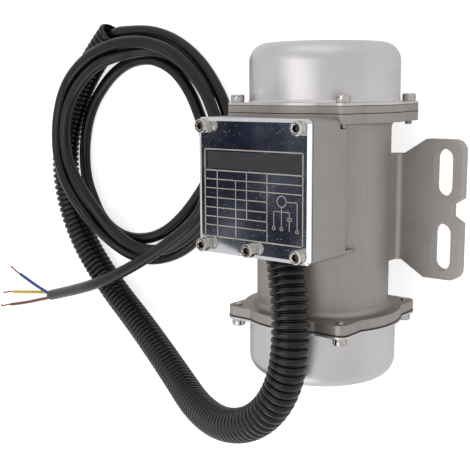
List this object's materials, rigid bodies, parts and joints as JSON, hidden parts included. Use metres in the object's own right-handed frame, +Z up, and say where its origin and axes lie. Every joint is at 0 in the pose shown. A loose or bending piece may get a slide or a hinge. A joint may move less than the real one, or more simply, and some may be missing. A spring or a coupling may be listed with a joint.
{
  "type": "vibration motor",
  "caption": "Stainless foot-mounted electric vibration motor with drawn end caps, a terminal box and a coiled lead.",
  "frame": {"origin": "middle of the four mounting slots, on the plane that the feet stand on", "axes": "+X along the shaft towards the end shield, +Z up from the mounting plane, +Y towards the left foot"},
  "size_m": [0.2432, 0.4061, 0.109],
  "materials": {
    "body_steel": "warm satin stainless, finely blasted",
    "cap_steel": "satin drawn stainless sheet",
    "cover_steel": "mirror polished stainless",
    "screw_steel": "bright stainless",
    "gasket_rubber": "black rubber",
    "bearing_steel": "ground bearing steel",
    "electrical_steel": "stacked laminations",
    "winding_copper": "enamelled copper",
    "cage_aluminium": "cast aluminium",
    "shaft_steel": "ground steel",
    "weight_steel": "oiled steel plate",
    "terminal_plastic": "pale moulded plastic",
    "capacitor_plastic": "black moulded case",
    "terminal_brass": "plated brass",
    "conduit_plastic": "glossy black ribbed plastic",
    "sheath_black": "satin black sheath",
    "core_blue": "blue insulation",
    "core_yellow": "yellow insulation",
    "core_brown": "brown insulation",
    "lead_white": "white insulation",
    "bare_copper": "bare stranded copper"
  },
  "bodies": {
    "motor": {"motor_body": "body_steel", "front_end_shield": "body_steel", "front_cap": "cap_steel", "rear_cap": "cap_steel", "front_cap_gasket": "gasket_rubber", "rear_cap_gasket": "gasket_rubber", "shield_gasket": "gasket_rubber", "front_cap_screws": "screw_steel", "rear_cap_screws": "screw_steel", "front_bearing_outer_ring": "bearing_steel", "front_bearing_balls": "bearing_steel", "rear_bearing_outer_ring": "bearing_steel", "rear_bearing_balls": "bearing_steel", "stator_core": "electrical_steel", "stator_winding": "winding_copper", "right_foot": "body_steel", "left_foot": "body_steel", "terminal_box": "body_steel", "box_gasket": "gasket_rubber", "box_cover": "cover_steel", "cover_spring_washers": "screw_steel", "cover_screws": "screw_steel", "conduit_bush": "capacitor_plastic", "terminal_block": "terminal_plastic", "terminal_screws": "terminal_brass", "run_capacitor": "capacitor_plastic", "earth_screw": "screw_steel", "lead_grommet": "gasket_rubber", "winding_leads": "lead_white", "supply_cores": "core_brown", "capacitor_leads": "lead_white", "conduit": "conduit_plastic", "cable_coil": "sheath_black", "cable_lead": "sheath_black", "cable_tail": "sheath_black", "wire_blue": "core_blue", "wire_yellow": "core_yellow", "wire_brown": "core_brown", "bare_wire_ends": "bare_copper"},
    "rotor": {"shaft": "shaft_steel", "rotor_core": "electrical_steel", "rotor_cage": "cage_aluminium", "weight_keys": "shaft_steel", "front_keyed_weight": "weight_steel", "rear_keyed_weight": "weight_steel", "front_retaining_ring": "shaft_steel", "rear_retaining_ring": "shaft_steel", "front_bearing_inner_ring": "bearing_steel", "rear_bearing_inner_ring": "bearing_steel"},
    "front_adjustable": {"front_adjustable_weight": "weight_steel", "front_weight_grub_screw": "shaft_steel"},
    "rear_adjustable": {"rear_adjustable_weight": "weight_steel", "rear_weight_grub_screw": "shaft_steel"}
  },
  "joints": [
    {"name": "rotor_spin", "type": "hinge", "parent": "motor", "child": "rotor", "pos_m": [0, 0, 0.043], "axis": [1, 0, 0], "continuous": true},
    {"name": "front_weight_setting", "type": "hinge", "parent": "rotor", "child": "front_adjustable", "pos_m": [0.07, 0, 0.043], "axis": [1, 0, 0], "range_deg": [0, 180]},
    {"name": "rear_weight_setting", "type": "hinge", "parent": "rotor", "child": "rear_adjustable", "pos_m": [-0.07, 0, 0.043], "axis": [1, 0, 0], "range_deg": [0, 180]}
  ]
}
